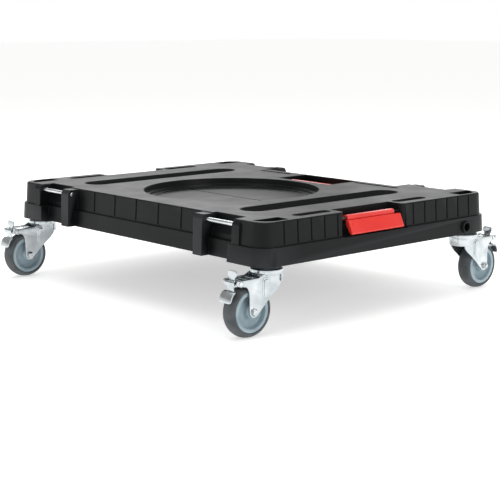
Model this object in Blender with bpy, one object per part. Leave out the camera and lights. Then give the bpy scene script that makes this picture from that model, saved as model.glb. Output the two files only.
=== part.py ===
"""Furniture dolly: a moulded platform on four total-lock swivel casters, with two hinged box latches.

Sizes are in millimetres and become metres where a mesh is made. The origin is on the floor under the middle of
the platform, +Z is up, +X runs along the short side and +Y along the long side. In a caster's own frame, u is the
way the wheel trails, v runs along the axle, and the swivel axis is at u = v = 0.
"""

import math

import bmesh
import bpy
from mathutils import Matrix, Vector

MM = 0.001
GAP = 0.3  # clearance between pieces that touch

# Platform, seen from above: corner blocks stand proud of the middle of each long side.
TOP_Z = 159.0
STEP_Z = 124.0
BOTTOM_Z = 98.0
BLOCK_X = 238.5
HALF_Y = 305.0
SIDE_X = 223.3
CORNER_R = 22.0
DRAFT = 2.3 / 35.0  # the walls lean out by this much for each millimetre down
BAND_STEP = 3.4  # the lower band stands this far outside the upper band
DECK_X = -19.0  # middle of the pattern in the deck: the right-hand side has a grip recess
RIM_BEVEL = 1.6

# Rod stations on the long sides: a lug, an open gap and a lug that is part of the corner block.
LUG_INNER_Y = 160.0
LUG_OUTER_Y = 180.0
BLOCK_Y = 244.6
BLOCK_LUG_Y = 260.0
LUG_X = 242.0
LUG_TOP_Z = 157.5
RECESS_X = 214.5
ROD_X = 234.5
ROD_Z = 150.5
ROD_R = 3.2
ROD_START_Y = 158.8
ROD_END_Y = 256.0
ROD_SLOT = 2.4

# Grip recess in the upper band of the right-hand long side.
GRIP_X = 187.0
CHANNEL_X = (166.0, 174.0)
CHANNEL_FLOOR_Z = 156.9

# Top of the deck.
DISH_X = -38.0
DISH_Y = -8.0
DISH_STEPS = ((141.5, 150.0), (134.5, 146.0), (128.0, 144.0))  # radius and floor height of each step
SEAM_X = -22.0
TROUGH_LENGTH = 322.0
TROUGH_WIDTH = 47.0
TROUGH_Y = 198.0
TROUGH_FLOOR_Z = 151.0
KEY_SLOT_LENGTH = 71.0
KEY_SLOT_WIDTH = 18.0
KEY_SLOT_X = 104.0
KEY_SLOT_Y = 280.0
KEY_SLOT_FLOOR_Z = 152.0
POCKET_FLOOR_Z = 117.0

# Latch openings.
NOTCH_WIDTH = 124.0
NOTCH_DEPTH = 30.0
NOTCH_FLOOR_Z = STEP_Z - 0.8
NOTCH_LIP_R = 8.0
WELL_X = (117.0, 183.0)
WELL_Y = -15.0
WELL_HALF_Y = 62.0

# Latches: a ridge over the hinge pin and a plate that hangs down and out.
LATCH_LENGTH = 111.0
LATCH_PIN_R = 1.6
FRONT_LATCH_PIVOT = (DECK_X + 1.0, -296.0, 148.0)
SIDE_LATCH_PIVOT = (137.0, WELL_Y, 151.8)

# Grooves in the upper band.
GROOVE_WIDTH = 3.0
GROOVE_DEPTH = 1.3
SIDE_GROOVE_PITCH = 55.5
END_GROOVE_PITCH = 26.2
END_GROOVES_LEFT = -201.3
END_GROOVES_RIGHT = 65.6

# Underside.
WALL = 4.0
RIB = 3.0
CELLS_X = 8
CELLS_Y = 10
BOSS_HALF_X = 34.0
BOSS_HALF_Y = 34.0

# Tube sockets in the lower band.
SOCKET_X = 184.0
SOCKET_Z = 109.5
SOCKET_R = 9.2
SOCKET_BORE_R = 6.2
SOCKET_PROUD = 4.0
SOCKET_DEPTH = 24.0

# Casters.
SWIVEL_X = 213.5
SWIVEL_Y = 284.5
TRAIL = 36.5
WHEEL_R = 37.5
TREAD_WIDTH = 24.0
RIM_R = 29.8
FORK_INSIDE = 13.2
FORK_STEEL = 2.4
CROWN_R = 23.4
CROWN_Z = (87.0, 93.2)
NOSE_Z = 74.5
KINGPIN_R = 4.0
AXLE_R = 3.0
BRAKE_PIVOT = (60.0, 80.0)
BRAKE_PIN_R = 2.0
SHOE_PIVOT = (30.5, 80.3)

BLACK = (0.022, 0.023, 0.025)
RED = (0.72, 0.045, 0.035)
ZINC = (0.66, 0.68, 0.70)
RACE_GREY = (0.09, 0.11, 0.13)
TYRE_GREY = (0.07, 0.075, 0.08)
RIM_BLUE = (0.34, 0.42, 0.46)


# ---------------------------------------------------------------------------------------------- helpers


def clear_scene():
    for obj in list(bpy.data.objects):
        bpy.data.objects.remove(obj, do_unlink=True)


def new_collection(name):
    collection = bpy.data.collections.new(name)
    bpy.context.scene.collection.children.link(collection)
    return collection


def material(name, colour, roughness, metallic=0.0):
    made = bpy.data.materials.new(name)
    made.use_nodes = True
    shader = made.node_tree.nodes["Principled BSDF"]
    shader.inputs["Base Color"].default_value = (*colour, 1.0)
    shader.inputs["Roughness"].default_value = roughness
    shader.inputs["Metallic"].default_value = metallic
    made.diffuse_color = (*colour, 1.0)
    return made


def mesh_from(bm, name):
    """The bmesh, drawn in millimetres, as a mesh in metres with its faces outwards."""
    bmesh.ops.scale(bm, vec=(MM, MM, MM), verts=bm.verts)
    bmesh.ops.recalc_face_normals(bm, faces=bm.faces)
    mesh = bpy.data.meshes.new(name)
    bm.to_mesh(mesh)
    bm.free()
    return mesh


def add_prism(bm, outline, low, high, axis="z"):
    """Extrudes a flat outline along an axis: (x, y) along z, (x, z) along y, or (y, z) along x."""
    place = {
        "z": lambda a, b, t: (a, b, t),
        "y": lambda a, b, t: (a, t, b),
        "x": lambda a, b, t: (t, a, b),
    }[axis]
    face = bm.faces.new([bm.verts.new(place(a, b, low)) for a, b in outline])
    top = bmesh.ops.extrude_face_region(bm, geom=[face])
    moved = [v for v in top["geom"] if isinstance(v, bmesh.types.BMVert)]
    bmesh.ops.translate(bm, verts=moved, vec=place(0.0, 0.0, high - low))


def add_box(bm, x, y, z):
    """A box between two limits on each axis."""
    add_prism(bm, [(x[0], y[0]), (x[1], y[0]), (x[1], y[1]), (x[0], y[1])], z[0], z[1])


def add_cylinder(bm, centre, radius, low, high, axis="z", segments=24):
    """A cylinder along an axis; centre holds the two coordinates across it."""
    turn = {
        "z": Matrix.Identity(4),
        "y": Matrix.Rotation(math.radians(-90), 4, "X"),
        "x": Matrix.Rotation(math.radians(90), 4, "Y"),
    }[axis]
    middle = (low + high) / 2
    at = {
        "z": Vector((centre[0], centre[1], middle)),
        "y": Vector((centre[0], middle, centre[1])),
        "x": Vector((middle, centre[0], centre[1])),
    }[axis]
    bmesh.ops.create_cone(
        bm,
        cap_ends=True,
        segments=segments,
        radius1=radius,
        radius2=radius,
        depth=high - low,
        matrix=Matrix.Translation(at) @ turn,
    )


def arc(centre, radius, start, end, steps):
    """Points of an arc, with the angles in degrees."""
    points = []
    for i in range(steps + 1):
        angle = math.radians(start + (end - start) * i / steps)
        points.append((centre[0] + radius * math.cos(angle), centre[1] + radius * math.sin(angle)))
    return points


def stadium(centre, length, width, steps=8):
    """A slot outline with round ends, long in x."""
    reach = (length - width) / 2
    right = arc((centre[0] + reach, centre[1]), width / 2, -90, 90, steps)
    left = arc((centre[0] - reach, centre[1]), width / 2, 90, 270, steps)
    return right + left


def offset_outline(outline, distance):
    """Moves every side of an anticlockwise outline out by a distance, with mitred corners."""
    moved = []
    count = len(outline)
    for i, point in enumerate(outline):
        before = Vector(point) - Vector(outline[i - 1])
        after = Vector(outline[(i + 1) % count]) - Vector(point)
        normal_a = Vector((before.y, -before.x)).normalized()
        normal_b = Vector((after.y, -after.x)).normalized()
        bisector = (normal_a + normal_b).normalized()
        reach = distance / max(bisector.dot(normal_a), 0.3)
        moved.append((point[0] + bisector.x * reach, point[1] + bisector.y * reach))
    return moved


def turned(name, profile, segments):
    """A solid turned about z from a closed (radius, z) profile that runs down its outer side."""
    bm = bmesh.new()
    rings = [bm.verts.new((r, 0.0, z)) for r, z in profile]
    edges = [bm.edges.new((rings[i - 1], rings[i])) for i in range(len(rings))]
    bmesh.ops.spin(
        bm,
        geom=rings + edges,
        cent=(0, 0, 0),
        axis=(0, 0, 1),
        angle=math.tau,
        steps=segments,
        use_merge=True,
    )
    bmesh.ops.remove_doubles(bm, verts=bm.verts, dist=0.001)
    return mesh_from(bm, name)


def shade(mesh, angle=35.0):
    mesh.shade_smooth()
    mesh.set_sharp_from_angle(angle=math.radians(angle))


def place(mesh, name, collection, finish, parent=None, at=(0, 0, 0), turn=None):
    """Links a mesh as one named piece."""
    obj = bpy.data.objects.new(name, mesh)
    if finish.name not in [m.name for m in mesh.materials if m]:
        mesh.materials.append(finish)
    collection.objects.link(obj)
    obj.location = [c * MM for c in at]
    if turn:
        obj.rotation_euler = turn
    obj.parent = parent
    return obj


def cutter(bm, name, collection):
    obj = bpy.data.objects.new(name, mesh_from(bm, name))
    obj.hide_render = True
    obj.display_type = "WIRE"
    collection.objects.link(obj)
    return obj


def combine(obj, other, operation):
    modifier = obj.modifiers.new(f"{operation.lower()} {other.name}", "BOOLEAN")
    modifier.operation = operation
    modifier.object = other


def carved(name, body, joined=(), cuts=()):
    """Bakes a body, with bmeshes joined to it and cut from it, into one mesh that several pieces can share."""
    scratch = bpy.context.scene.collection
    base = bpy.data.objects.new(name, mesh_from(body, name))
    scratch.objects.link(base)
    helpers = []
    for operation, group in (("UNION", joined), ("DIFFERENCE", cuts)):
        for bm in group:
            helper = bpy.data.objects.new(name + " tool", mesh_from(bm, name + " tool"))
            scratch.objects.link(helper)
            helpers.append(helper)
            combine(base, helper, operation)
    bpy.context.view_layer.update()
    baked = bpy.data.meshes.new_from_object(base.evaluated_get(bpy.context.evaluated_depsgraph_get()))
    for obj in [base, *helpers]:
        bpy.data.objects.remove(obj, do_unlink=True)
    baked.name = name
    shade(baked)
    return baked


# ---------------------------------------------------------------------------------------------- platform


def platform_outline():
    """The top edge, anticlockwise: corner blocks with rounded corners, and set-back long sides."""
    corner_x = BLOCK_X - CORNER_R
    corner_y = HALF_Y - CORNER_R
    right = [(SIDE_X, -BLOCK_Y), (SIDE_X, BLOCK_Y), (BLOCK_X, BLOCK_Y)]
    back_right = arc((corner_x, corner_y), CORNER_R, 0, 90, 6)
    back_left = arc((-corner_x, corner_y), CORNER_R, 90, 180, 6)
    left = [(-BLOCK_X, BLOCK_Y), (-SIDE_X, BLOCK_Y), (-SIDE_X, -BLOCK_Y), (-BLOCK_X, -BLOCK_Y)]
    front_left = arc((-corner_x, -corner_y), CORNER_R, 180, 270, 6)
    front_right = arc((corner_x, -corner_y), CORNER_R, 270, 360, 6)
    return right + back_right + back_left + left + front_left + front_right + [(BLOCK_X, -BLOCK_Y)]


def lean(z):
    """How far the wall stands outside the top edge at a height."""
    return (TOP_Z - z) * DRAFT + (BAND_STEP if z <= STEP_Z else 0.0)


def platform_body():
    """The two bands of the platform, lofted between outlines that grow downwards."""
    bm = bmesh.new()
    top = platform_outline()
    levels = (
        (BOTTOM_Z, lean(BOTTOM_Z)),
        (STEP_Z, lean(STEP_Z)),
        (STEP_Z + 0.6, lean(STEP_Z + 0.6)),
        (TOP_Z - RIM_BEVEL, lean(TOP_Z - RIM_BEVEL)),
        (TOP_Z, -RIM_BEVEL),
    )
    rings = []
    for z, distance in levels:
        rings.append([bm.verts.new((x, y, z)) for x, y in offset_outline(top, distance)])
    bm.faces.new(list(reversed(rings[0])))
    bm.faces.new(rings[-1])
    for lower, upper in zip(rings, rings[1:]):
        for i in range(len(lower)):
            bm.faces.new((lower[i - 1], lower[i], upper[i], upper[i - 1]))
    return bm


def lug_blocks():
    """The eight lugs that hold the rods: full height, flush with the lower band of the corner blocks."""
    bm = bmesh.new()
    for side in (-1, 1):
        for end in (-1, 1):
            for near, far in ((LUG_INNER_Y, LUG_OUTER_Y), (BLOCK_Y, BLOCK_LUG_Y)):
                outer = [
                    (side * 200.0, BOTTOM_Z),
                    (side * (LUG_X + 2.0), BOTTOM_Z),
                    (side * LUG_X, LUG_TOP_Z - 6.0),
                    (side * (LUG_X - 3.5), LUG_TOP_Z),
                    (side * 200.0, LUG_TOP_Z),
                ]
                low, high = sorted((end * near, end * far))
                add_prism(bm, outer, low, high, axis="y")
    return bm


def rod_recess_cuts():
    """The hollow behind each rod, deepest at the top."""
    bm = bmesh.new()
    ledge = SIDE_X + lean(STEP_Z + 0.6) - 2.0
    for side in (-1, 1):
        for end in (-1, 1):
            outline = [
                (side * RECESS_X, TOP_Z + 5.0),
                (side * RECESS_X, TOP_Z - 8.0),
                (side * ledge, STEP_Z + 7.0),
                (side * ledge, STEP_Z - 0.8),
                (side * (LUG_X + 20.0), STEP_Z - 0.8),
                (side * (LUG_X + 20.0), TOP_Z + 5.0),
            ]
            low, high = sorted((end * LUG_OUTER_Y, end * BLOCK_Y))
            add_prism(bm, outline, low, high, axis="y")
    return bm


def dish_cut():
    """The round stepped dish, with a shallow seam across its floor."""
    bm = bmesh.new()
    profile = [(0.0, TOP_Z + 5.0)]
    height = TOP_Z + 5.0
    for radius, floor in DISH_STEPS:
        profile.append((radius + 1.2, height))
        profile.append((radius, floor))
        height = floor
    profile.append((0.0, height))
    points = [bm.verts.new((r, 0.0, z)) for r, z in profile]
    edges = [bm.edges.new((points[i], points[i + 1])) for i in range(len(points) - 1)]
    bmesh.ops.spin(
        bm,
        geom=points + edges,
        cent=(0, 0, 0),
        axis=(0, 0, 1),
        angle=math.tau,
        steps=64,
        use_merge=True,
    )
    bmesh.ops.remove_doubles(bm, verts=bm.verts, dist=0.001)
    bmesh.ops.translate(bm, verts=bm.verts, vec=(DISH_X, DISH_Y, 0))
    return bm


def seam_cut():
    bm = bmesh.new()
    floor = DISH_STEPS[-1][1]
    reach = DISH_STEPS[-1][0] - 4.0
    add_box(bm, (SEAM_X - 1.2, SEAM_X + 1.2), (DISH_Y - reach, DISH_Y + reach), (floor - 1.0, floor + 1.0))
    return bm


def tapered_slot(bm, centre, length, width, floor, taper):
    """A long slot whose walls slope in towards its floor."""
    rings = []
    for z, shrink in ((floor, taper), (TOP_Z, 0.0), (TOP_Z + 5.0, 0.0)):
        outline = stadium(centre, length - 2 * shrink, width - 2 * shrink)
        rings.append([bm.verts.new((x, y, z)) for x, y in outline])
    bm.faces.new(list(reversed(rings[0])))
    bm.faces.new(rings[-1])
    for lower, upper in zip(rings, rings[1:]):
        for i in range(len(lower)):
            bm.faces.new((lower[i - 1], lower[i], upper[i], upper[i - 1]))


def deck_slot_cuts():
    """Two long troughs and four short key slots, in mirrored pairs."""
    bm = bmesh.new()
    for end in (-1, 1):
        tapered_slot(bm, (DECK_X, end * TROUGH_Y), TROUGH_LENGTH, TROUGH_WIDTH, TROUGH_FLOOR_Z, 5.0)
        for side in (-1, 1):
            centre = (DECK_X + side * KEY_SLOT_X, end * KEY_SLOT_Y)
            tapered_slot(bm, centre, KEY_SLOT_LENGTH, KEY_SLOT_WIDTH, KEY_SLOT_FLOOR_Z, 2.0)
    return bm


def pocket_outline(side, end):
    """A pocket that follows the rounded corner of the platform, over the kingpin."""
    corners = ((17.5, -9.5), (17.5, -2.0), (10.0, 8.5), (0.0, 14.5), (-29.0, 14.5), (-29.0, -9.5))
    return [(side * (SWIVEL_X + a), end * (SWIVEL_Y + b)) for a, b in corners]


def corner_pocket_cuts():
    bm = bmesh.new()
    for side in (-1, 1):
        for end in (-1, 1):
            add_prism(bm, pocket_outline(side, end), POCKET_FLOOR_Z, TOP_Z + 5.0)
    bmesh.ops.recalc_face_normals(bm, faces=bm.faces)
    upright = [e for e in bm.edges if abs((e.verts[0].co - e.verts[1].co).z) > 1.0]
    bmesh.ops.bevel(
        bm,
        geom=upright,
        offset=2.5,
        offset_type="OFFSET",
        segments=2,
        profile=0.5,
        affect="EDGES",
        material=-1,
    )
    return bm


def latch_notch_cuts():
    """An open notch in the middle of each short side, with rounded lips."""
    bm = bmesh.new()
    half = NOTCH_WIDTH / 2
    for end in (-1, 1):
        face = HALF_Y + lean(STEP_Z)
        lip = NOTCH_LIP_R
        outline = [(DECK_X - half, HALF_Y - NOTCH_DEPTH), (DECK_X + half, HALF_Y - NOTCH_DEPTH)]
        outline += arc((DECK_X + half + lip, HALF_Y - lip), lip, 180, 100, 4)
        outline += [(DECK_X + half + lip, face + 10.0), (DECK_X - half - lip, face + 10.0)]
        outline += arc((DECK_X - half - lip, HALF_Y - lip), lip, 80, 0, 4)
        add_prism(bm, [(x, end * y) for x, y in outline], NOTCH_FLOOR_Z, TOP_Z + 5.0)
    return bm


def side_opening_cuts():
    """The well of the second latch, and the grip recess outside it."""
    bm = bmesh.new()
    add_box(bm, WELL_X, (WELL_Y - WELL_HALF_Y, WELL_Y + WELL_HALF_Y), (NOTCH_FLOOR_Z, TOP_Z + 5.0))
    add_box(bm, (GRIP_X, BLOCK_X + 20.0), (-LUG_INNER_Y, LUG_INNER_Y), (STEP_Z - 0.8, TOP_Z + 5.0))
    for y in ((71.0, 149.0), (-182.0, -84.0)):
        add_box(bm, CHANNEL_X, y, (CHANNEL_FLOOR_Z, TOP_Z + 5.0))
    return bm


def groove(bm, along, face, across):
    """One upright groove in a leaning wall; face gives the wall's distance from the middle at a height."""
    low = STEP_Z + 2.5
    high = TOP_Z + 2.0
    outline = []
    for z in (low, high):
        outline.append((face(z) - GROOVE_DEPTH, z))
    outline += [(face(high) + 8.0, high), (face(low) + 8.0, low)]
    start = along - GROOVE_WIDTH / 2
    sign, axis = across
    add_prism(bm, [(sign * d, z) for d, z in outline], start, start + GROOVE_WIDTH, axis=axis)


def groove_cuts():
    """Evenly spaced grooves: five on a long side, five and six either side of the notch on a short side."""
    bm = bmesh.new()
    side_faces = ((-1, lambda z: SIDE_X + lean(z)), (1, lambda z: GRIP_X))
    for sign, face in side_faces:
        for i in range(-2, 3):
            groove(bm, i * SIDE_GROOVE_PITCH, face, (sign, "y"))
    for sign in (-1, 1):
        for first, count in ((END_GROOVES_LEFT, 5), (END_GROOVES_RIGHT, 6)):
            for i in range(count):
                groove(bm, first + i * END_GROOVE_PITCH, lambda z: HALF_Y + lean(z), (sign, "x"))
    return bm


def cell_roof(x, y):
    """How high an underside cell may reach, given what is sunk into the deck above it."""
    half_x, half_y = x[1] - x[0], y[1] - y[0]
    middle = ((x[0] + x[1]) / 2, (y[0] + y[1]) / 2)
    roof = TOP_Z - WALL - 0.5
    nearest = math.hypot(
        max(abs(middle[0] - DISH_X) - half_x / 2, 0.0), max(abs(middle[1] - DISH_Y) - half_y / 2, 0.0)
    )
    if nearest < DISH_STEPS[0][0] + WALL:
        roof = min(roof, DISH_STEPS[-1][1] - WALL)
    if abs(abs(middle[1]) - TROUGH_Y) < TROUGH_WIDTH / 2 + half_y / 2 + WALL:
        roof = min(roof, TROUGH_FLOOR_Z - WALL)
    if abs(abs(middle[1]) - KEY_SLOT_Y) < KEY_SLOT_WIDTH / 2 + half_y / 2 + WALL:
        roof = min(roof, KEY_SLOT_FLOOR_Z - WALL)
    return roof


def underside_cells():
    """Box-shaped cells that leave a grid of ribs, the bosses over the casters and the walls of each opening."""
    cells = []
    x_low, x_high = -RECESS_X + WALL, GRIP_X - WALL
    y_low, y_high = -HALF_Y + WALL, HALF_Y - WALL
    pitch_x = (x_high - x_low + RIB) / CELLS_X
    pitch_y = (y_high - y_low + RIB) / CELLS_Y
    notch = (DECK_X - NOTCH_WIDTH / 2 - 14.0, DECK_X + NOTCH_WIDTH / 2 + 14.0)
    for i in range(CELLS_X):
        for j in range(CELLS_Y):
            x = (x_low + i * pitch_x, x_low + (i + 1) * pitch_x - RIB)
            y = (y_low + j * pitch_y, y_low + (j + 1) * pitch_y - RIB)
            if max(abs(x[0]), abs(x[1])) > SWIVEL_X - BOSS_HALF_X:
                if max(abs(y[0]), abs(y[1])) > SWIVEL_Y - BOSS_HALF_Y:
                    continue
            roof = cell_roof(x, y)
            at_notch = x[1] > notch[0] and x[0] < notch[1] and max(-y[0], y[1]) > HALF_Y - NOTCH_DEPTH - WALL
            reach = WELL_HALF_Y + WALL
            at_well = x[1] > WELL_X[0] - WALL and y[1] > WELL_Y - reach and y[0] < WELL_Y + reach
            if at_notch or at_well:
                roof = NOTCH_FLOOR_Z - WALL
            cells.append((x, y, (BOTTOM_Z - 5.0, roof)))
    for j in range(CELLS_Y):
        y = (y_low + j * pitch_y, y_low + (j + 1) * pitch_y - RIB)
        if max(abs(y[0]), abs(y[1])) < SWIVEL_Y - BOSS_HALF_Y:
            cells.append(((x_high + RIB, SIDE_X - WALL), y, (BOTTOM_Z - 5.0, STEP_Z - 0.8 - WALL)))
    return cells


def underside_cuts():
    bm = bmesh.new()
    for x, y, z in underside_cells():
        add_box(bm, x, y, z)
    return bm


def rod_start(side):
    """Where a rod begins: the left rods come through their inner lugs and the right ones stop inside."""
    return ROD_START_Y if side < 0 else ROD_START_Y + 8.0


def bore_cuts():
    """Holes for rods, latch pins, kingpins and the tube sockets."""
    bm = bmesh.new()
    for side in (-1, 1):
        for end in (-1, 1):
            start = rod_start(side) - (2.0 if side < 0 else 0.5)
            low, high = sorted((end * start, end * (ROD_END_Y + 0.5)))
            add_cylinder(bm, (side * ROD_X, ROD_Z), ROD_R + GAP, low, high, axis="y", segments=16)
            bore = (side * SWIVEL_X, end * SWIVEL_Y)
            add_cylinder(bm, bore, KINGPIN_R + 0.4, BOTTOM_Z - 5.0, POCKET_FLOOR_Z + 2.0, segments=16)
    for end in (-1, 1):
        face = HALF_Y + lean(SOCKET_Z)
        low, high = sorted((end * (face - SOCKET_DEPTH), end * (face + 10.0)))
        add_cylinder(bm, (SOCKET_X, SOCKET_Z), SOCKET_R + GAP, low, high, axis="y", segments=24)
    reach = NOTCH_WIDTH / 2 + 4.0
    pivot = FRONT_LATCH_PIVOT
    add_cylinder(bm, pivot[1:], LATCH_PIN_R + GAP, DECK_X - reach, DECK_X + reach, axis="x", segments=12)
    pivot = SIDE_LATCH_PIVOT
    reach = WELL_HALF_Y + 4.0
    low, high = WELL_Y - reach, WELL_Y + reach
    add_cylinder(bm, (pivot[0], pivot[2]), LATCH_PIN_R + GAP, low, high, axis="y", segments=12)
    return bm


def rod_slot_cuts():
    """The open slot above each left rod where it leaves the inner lug."""
    bm = bmesh.new()
    for end in (-1, 1):
        y = sorted((end * (LUG_INNER_Y - 3.0), end * (LUG_INNER_Y + 6.0)))
        add_box(bm, (-ROD_X - ROD_SLOT, -ROD_X + ROD_SLOT), y, (ROD_Z, ROD_Z + 5.0))
    return bm


def build_deck(collection, cutters, finish):
    deck = place(mesh_from(platform_body(), "deck"), "deck", collection, finish)
    combine(deck, cutter(lug_blocks(), "lug_tool", cutters), "UNION")
    cuts = (
        ("rod_recess_tool", rod_recess_cuts),
        ("side_opening_tool", side_opening_cuts),
        ("latch_notch_tool", latch_notch_cuts),
        ("dish_tool", dish_cut),
        ("seam_tool", seam_cut),
        ("deck_slot_tool", deck_slot_cuts),
        ("corner_pocket_tool", corner_pocket_cuts),
        ("groove_tool", groove_cuts),
        ("underside_tool", underside_cuts),
        ("bore_tool", bore_cuts),
        ("rod_slot_tool", rod_slot_cuts),
    )
    for name, make in cuts:
        combine(deck, cutter(make(), name, cutters), "DIFFERENCE")
    return deck


# ---------------------------------------------------------------------------------------------- fittings


def cylinder_mesh(name, radius, low, high, axis="z", segments=20):
    bm = bmesh.new()
    add_cylinder(bm, (0.0, 0.0), radius, low, high, axis, segments)
    mesh = mesh_from(bm, name)
    shade(mesh)
    return mesh


def build_rods(collection, finish):
    for side, side_name in ((-1, "left"), (1, "right")):
        mesh = cylinder_mesh(f"tie_rod_{side_name}", ROD_R, rod_start(side), ROD_END_Y, axis="y", segments=16)
        for end, end_name in ((-1, "front"), (1, "rear")):
            turn = (0, 0, 0) if end > 0 else (0, 0, math.pi)
            name = f"tie_rod_{side_name}_{end_name}"
            place(mesh, name, collection, finish, at=(side * ROD_X, 0, ROD_Z), turn=turn)


def latch_mesh():
    """The latch about its hinge pin, facing -y: a ridge on top, a sloping plate and a cheek at each end."""
    half = LATCH_LENGTH / 2
    plate = [
        (6.0, 3.0),
        (1.0, 4.6),
        (-8.5, 0.4),
        (-17.5, -20.5),
        (-15.3, -22.5),
        (-13.2, -21.4),
        (-5.6, -3.6),
        (6.0, -3.4),
    ]
    body = bmesh.new()
    add_prism(body, plate, -half, half, axis="x")
    cheeks = bmesh.new()
    cheek = [(-1.0, -2.5), (-6.5, -2.5), (-14.0, -19.5), (-11.0, -19.5), (-1.0, -8.5)]
    for low in (-half, half - 3.0):
        add_prism(cheeks, cheek, low, low + 3.0, axis="x")
    bore = bmesh.new()
    add_cylinder(bore, (0.0, 0.0), LATCH_PIN_R + GAP, -half - 5.0, half + 5.0, axis="x", segments=12)
    return carved("latch", body, joined=(cheeks,), cuts=(bore,))


def build_latches(collection, red, steel):
    latch = latch_mesh()
    reach = WELL_HALF_Y + 2.0
    pin = cylinder_mesh("latch_pin", LATCH_PIN_R, -reach, reach, axis="x", segments=12)
    quarter = (0, 0, math.pi / 2)
    place(latch, "front_latch", collection, red, at=FRONT_LATCH_PIVOT)
    place(pin, "front_latch_pin", collection, steel, at=FRONT_LATCH_PIVOT)
    place(latch, "side_latch", collection, red, at=SIDE_LATCH_PIVOT, turn=quarter)
    place(pin, "side_latch_pin", collection, steel, at=SIDE_LATCH_PIVOT, turn=quarter)


def build_sockets(collection, finish):
    """Short tube sockets that stand a little out of the lower band at each end."""
    face = HALF_Y + lean(SOCKET_Z)
    body = bmesh.new()
    add_cylinder(body, (0.0, 0.0), SOCKET_R, face - SOCKET_DEPTH + GAP, face + SOCKET_PROUD, axis="y")
    bore = bmesh.new()
    add_cylinder(bore, (0.0, 0.0), SOCKET_BORE_R, face - SOCKET_DEPTH + 3.0, face + SOCKET_PROUD + 5.0, axis="y")
    mesh = carved("tube_socket", body, cuts=(bore,))
    place(mesh, "tube_socket_rear", collection, finish, at=(SOCKET_X, 0, SOCKET_Z))
    place(mesh, "tube_socket_front", collection, finish, at=(SOCKET_X, 0, SOCKET_Z), turn=(0, 0, math.pi))


# ---------------------------------------------------------------------------------------------- caster


def fork_leg_outline():
    """A fork leg in (u, z): nose, slanting front edge, round eye at the axle, upright rear edge and rear arm."""
    eye = arc((TRAIL - 0.6, 38.0), 8.4, 212, 350, 6)
    throat = arc((52.5, 66.5), 8.0, 180, 100, 4)
    front = [(-14.0, 89.0), (-14.0, 77.5), (-12.0, 70.5), (-5.5, 63.2), (4.0, 56.0), (15.5, 46.0)]
    rear = [(65.5, 77.0), (67.0, 78.8), (67.0, 83.0), (65.5, 84.2), (26.0, 84.2), (14.0, 90.0)]
    return front + eye + throat + rear


def hexagon(across_flats):
    radius = across_flats / 2 / math.cos(math.radians(30))
    return arc((0.0, 0.0), radius, 0, 300, 5)


def raceway_mesh():
    profile = [
        (KINGPIN_R + 0.4, BOTTOM_Z - GAP),
        (21.0, BOTTOM_Z - GAP),
        (21.5, BOTTOM_Z - 1.0),
        (20.6, CROWN_Z[1] + 0.4),
        (KINGPIN_R + 0.4, CROWN_Z[1] + 0.4),
    ]
    mesh = turned("raceway", profile, 24)
    shade(mesh)
    return mesh


def kingpin_mesh():
    """A hexagon-headed bolt whose head sits on the floor of the corner pocket."""
    shank = bmesh.new()
    add_cylinder(shank, (0.0, 0.0), KINGPIN_R, 73.0, POCKET_FLOOR_Z + 2.0, segments=16)
    head = bmesh.new()
    add_prism(head, hexagon(13.0), POCKET_FLOOR_Z + GAP, POCKET_FLOOR_Z + 5.6)
    return carved("kingpin", shank, joined=(head,))


def kingpin_nut_mesh():
    body = bmesh.new()
    add_prism(body, hexagon(13.0), CROWN_Z[0] - 7.2, CROWN_Z[0] - 0.4)
    bore = bmesh.new()
    add_cylinder(bore, (0.0, 0.0), KINGPIN_R + GAP, 60.0, 100.0, segments=16)
    return carved("kingpin_nut", body, cuts=(bore,))


def fork_mesh():
    """The pressed steel fork: crown, curved nose and two legs with rear arms."""
    crown = bmesh.new()
    add_cylinder(crown, (0.0, 0.0), CROWN_R, CROWN_Z[0], CROWN_Z[1], segments=32)
    legs = bmesh.new()
    for side in (-1, 1):
        low, high = sorted((side * FORK_INSIDE, side * (FORK_INSIDE + FORK_STEEL)))
        add_prism(legs, fork_leg_outline(), low, high, axis="y")
    web = bmesh.new()
    reach = FORK_INSIDE + 1.0
    add_box(web, (16.0, 54.0), (-reach, reach), (82.2, 83.9))
    nose = bmesh.new()
    outer = arc((0.0, 0.0), CROWN_R - 0.6, 128, 232, 10)
    inner = arc((0.0, 0.0), CROWN_R - 0.6 - FORK_STEEL, 232, 128, 10)
    add_prism(nose, outer + inner, NOSE_Z, CROWN_Z[0] + 2.0)
    bores = bmesh.new()
    add_cylinder(bores, (0.0, 0.0), KINGPIN_R + 0.4, 70.0, 110.0, segments=16)
    add_cylinder(bores, (TRAIL, WHEEL_R), AXLE_R + GAP, -30.0, 30.0, axis="y", segments=16)
    add_cylinder(bores, BRAKE_PIVOT, BRAKE_PIN_R + GAP, -30.0, 30.0, axis="y", segments=12)
    return carved("fork", crown, joined=(nose, legs, web), cuts=(bores,))


def axle_bolt_mesh():
    outside = FORK_INSIDE + FORK_STEEL
    shank = bmesh.new()
    add_cylinder(shank, (0.0, 0.0), AXLE_R, -outside - 6.0, outside + 2.0, axis="y", segments=16)
    head = bmesh.new()
    add_prism(head, hexagon(10.0), outside + GAP, outside + 4.3, axis="y")
    return carved("axle_bolt", shank, joined=(head,))


def axle_nut_mesh():
    outside = FORK_INSIDE + FORK_STEEL
    body = bmesh.new()
    add_prism(body, hexagon(10.0), -outside - 4.8, -outside - GAP, axis="y")
    bore = bmesh.new()
    add_cylinder(bore, (0.0, 0.0), AXLE_R + GAP, -40.0, 0.0, axis="y", segments=16)
    return carved("axle_nut", body, cuts=(bore,))


def turned_on_axle(name, profile, segments):
    """Turns a closed (radius, v) profile and lays its axis along v."""
    mesh = turned(name, profile, segments)
    mesh.transform(Matrix.Rotation(math.radians(-90), 4, "X"))
    shade(mesh)
    return mesh


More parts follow.
